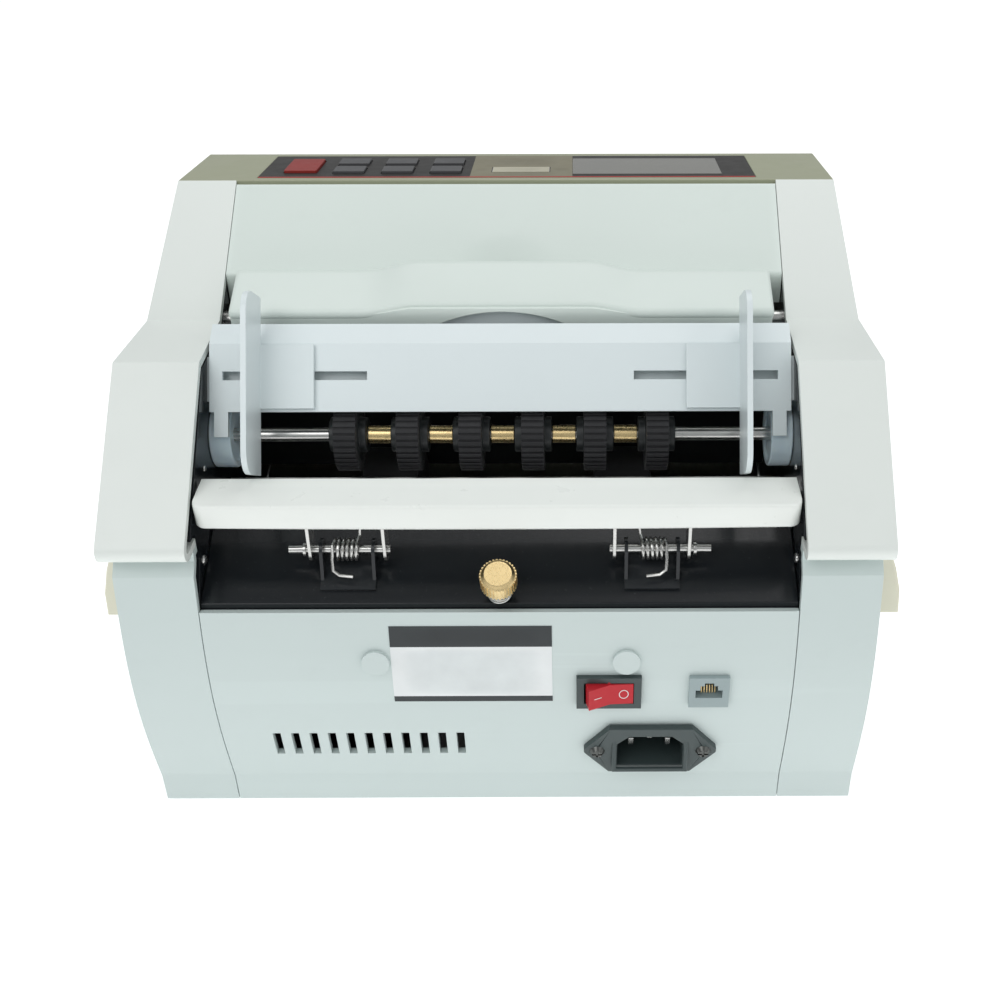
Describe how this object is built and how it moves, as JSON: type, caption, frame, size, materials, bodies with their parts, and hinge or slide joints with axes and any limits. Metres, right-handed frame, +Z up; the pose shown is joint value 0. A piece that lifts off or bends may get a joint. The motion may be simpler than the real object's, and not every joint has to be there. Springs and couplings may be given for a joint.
{
  "type": "banknote counting machine",
  "caption": "Desktop banknote counter with a rear hopper, friction feed rollers, sliding note guides and a front stacker.",
  "frame": {"origin": "centre of the machine's outline at table level", "axes": "+X across the machine to the right as seen from the hopper side, +Y towards the operator's front, +Z up"},
  "size_m": [0.294, 0.2484, 0.2038],
  "materials": {
    "shell": "satin moulded ABS",
    "lower_shell": "satin moulded ABS",
    "panel_frame": "matt moulded ABS",
    "hopper_white": "satin",
    "grip_ivory": "satin",
    "black_frame": "gloss black paint",
    "steel": "brushed",
    "brass": "turned",
    "rubber": "matt",
    "black_plastic": "matt",
    "nylon": "translucent nylon",
    "grey_plastic": "matt",
    "membrane": "matt film",
    "window": "smoked",
    "red_plastic": "gloss",
    "board": "solder mask"
  },
  "bodies": {
    "chassis": {"base_plate": "steel", "rubber_feet": "rubber", "side_frame_left": "black_frame", "side_frame_right": "black_frame", "lower_side_panel_left": "lower_shell", "lower_side_panel_right": "lower_shell", "side_cover_left": "shell", "side_cover_right": "shell", "lifting_grip_left": "grip_ivory", "lifting_grip_right": "grip_ivory", "rear_panel": "lower_shell", "top_cover": "shell", "control_panel": "panel_frame", "keypad_membrane": "membrane", "display_windows": "window", "front_panel": "lower_shell", "stacker_plate": "steel", "hopper_plate": "hopper_white", "feed_bearings": "nylon", "shaft_bearings": "brass", "guide_fingers": "steel", "lower_guide_plate": "black_frame", "spring_brackets": "black_frame", "pivot_pins": "steel", "transport_guide": "steel", "sensor_bar": "black_plastic", "drive_motor": "steel", "transformer": "black_plastic", "main_board": "board", "power_switch_body": "black_plastic", "power_inlet": "black_plastic", "inlet_pins": "steel", "panel_screws": "steel", "display_jack": "grey_plastic", "hole_plugs": "lower_shell", "drive_belts": "rubber", "torsion_springs": "steel", "thumbscrew_spring": "steel"},
    "handle": {"carry_handle": "hopper_white"},
    "guide_left": {"note_guide_left": "hopper_white"},
    "guide_right": {"note_guide_right": "hopper_white"},
    "feed_rotor": {"feed_shaft": "steel", "feed_roller_hubs": "black_plastic", "feed_roller_tyres": "rubber", "feed_shaft_spacers": "brass"},
    "main_rotor": {"main_shaft": "steel", "main_rollers": "rubber"},
    "motor_rotor": {"motor_pulley": "steel"},
    "impeller_rotor": {"impeller_shaft": "steel", "impeller_wheels": "rubber"},
    "ledge": {"hopper_ledge": "hopper_white"},
    "thumbscrew": {"gap_thumbscrew": "brass"},
    "rocker": {"switch_rocker": "red_plastic"},
    "start_button": {"start_key": "red_plastic"},
    "button_1": {"function_key_1": "grey_plastic"},
    "button_2": {"function_key_2": "grey_plastic"},
    "button_3": {"function_key_3": "grey_plastic"},
    "button_4": {"function_key_4": "grey_plastic"},
    "button_5": {"function_key_5": "grey_plastic"},
    "button_6": {"function_key_6": "grey_plastic"}
  },
  "joints": [
    {"name": "handle_hinge", "type": "hinge", "parent": "chassis", "child": "handle", "pos_m": [0, -0.0208, 0.165], "axis": [1, 0, 0], "range_deg": [0, 60]},
    {"name": "guide_left_slide", "type": "slide", "parent": "chassis", "child": "guide_left", "axis": [-1, 0, 0], "range_m": [-0.018, 0.0095]},
    {"name": "guide_right_slide", "type": "slide", "parent": "chassis", "child": "guide_right", "axis": [1, 0, 0], "range_m": [-0.018, 0.0095]},
    {"name": "main_spin", "type": "hinge", "parent": "chassis", "child": "main_rotor", "pos_m": [0, -0.0368, 0.092], "axis": [1, 0, 0], "continuous": true},
    {"name": "feed_spin", "type": "hinge", "parent": "chassis", "child": "feed_rotor", "pos_m": [0, -0.0578, 0.1357], "axis": [1, 0, 0], "continuous": true},
    {"name": "motor_spin", "type": "hinge", "parent": "chassis", "child": "motor_rotor", "pos_m": [0, -0.0018, 0.045], "axis": [1, 0, 0], "continuous": true},
    {"name": "impeller_spin", "type": "hinge", "parent": "chassis", "child": "impeller_rotor", "pos_m": [0, 0.0512, 0.072], "axis": [1, 0, 0], "continuous": true},
    {"name": "ledge_hinge", "type": "hinge", "parent": "chassis", "child": "ledge", "pos_m": [0, -0.0978, 0.112], "axis": [1, 0, 0], "range_deg": [0, 30], "stiffness_Nm_per_rad": 0.05, "springref_deg": -20.05},
    {"name": "thumbscrew_turn", "type": "hinge", "parent": "chassis", "child": "thumbscrew", "pos_m": [0, -0.1083, 0.0992], "axis": [0, -0.4226, 0.9063], "range_deg": [-360, 360]},
    {"name": "power_rocker", "type": "hinge", "parent": "chassis", "child": "rocker", "pos_m": [0.0388, -0.1191, 0.063], "axis": [0, 0, -1], "range_deg": [0, 28]},
    {"name": "start_press", "type": "slide", "parent": "chassis", "child": "start_button", "axis": [0, -0.1271, -0.9919], "range_m": [0, 0.0006], "stiffness_N_per_m": 400, "springref_m": -0.0005},
    {"name": "key_1_press", "type": "slide", "parent": "chassis", "child": "button_1", "axis": [0, -0.1271, -0.9919], "range_m": [0, 0.0006], "stiffness_N_per_m": 400, "springref_m": -0.0005},
    {"name": "key_2_press", "type": "slide", "parent": "chassis", "child": "button_2", "axis": [0, -0.1271, -0.9919], "range_m": [0, 0.0006], "stiffness_N_per_m": 400, "springref_m": -0.0005},
    {"name": "key_3_press", "type": "slide", "parent": "chassis", "child": "button_3", "axis": [0, -0.1271, -0.9919], "range_m": [0, 0.0006], "stiffness_N_per_m": 400, "springref_m": -0.0005},
    {"name": "key_4_press", "type": "slide", "parent": "chassis", "child": "button_4", "axis": [0, -0.1271, -0.9919], "range_m": [0, 0.0006], "stiffness_N_per_m": 400, "springref_m": -0.0005},
    {"name": "key_5_press", "type": "slide", "parent": "chassis", "child": "button_5", "axis": [0, -0.1271, -0.9919], "range_m": [0, 0.0006], "stiffness_N_per_m": 400, "springref_m": -0.0005},
    {"name": "key_6_press", "type": "slide", "parent": "chassis", "child": "button_6", "axis": [0, -0.1271, -0.9919], "range_m": [0, 0.0006], "stiffness_N_per_m": 400, "springref_m": -0.0005}
  ],
  "couplings": [
    {"joint": "feed_spin", "follows": "main_spin", "ratio": 1.3333},
    {"joint": "motor_spin", "follows": "main_spin", "ratio": 1.5},
    {"joint": "impeller_spin", "follows": "main_spin", "ratio": 0.85714}
  ]
}
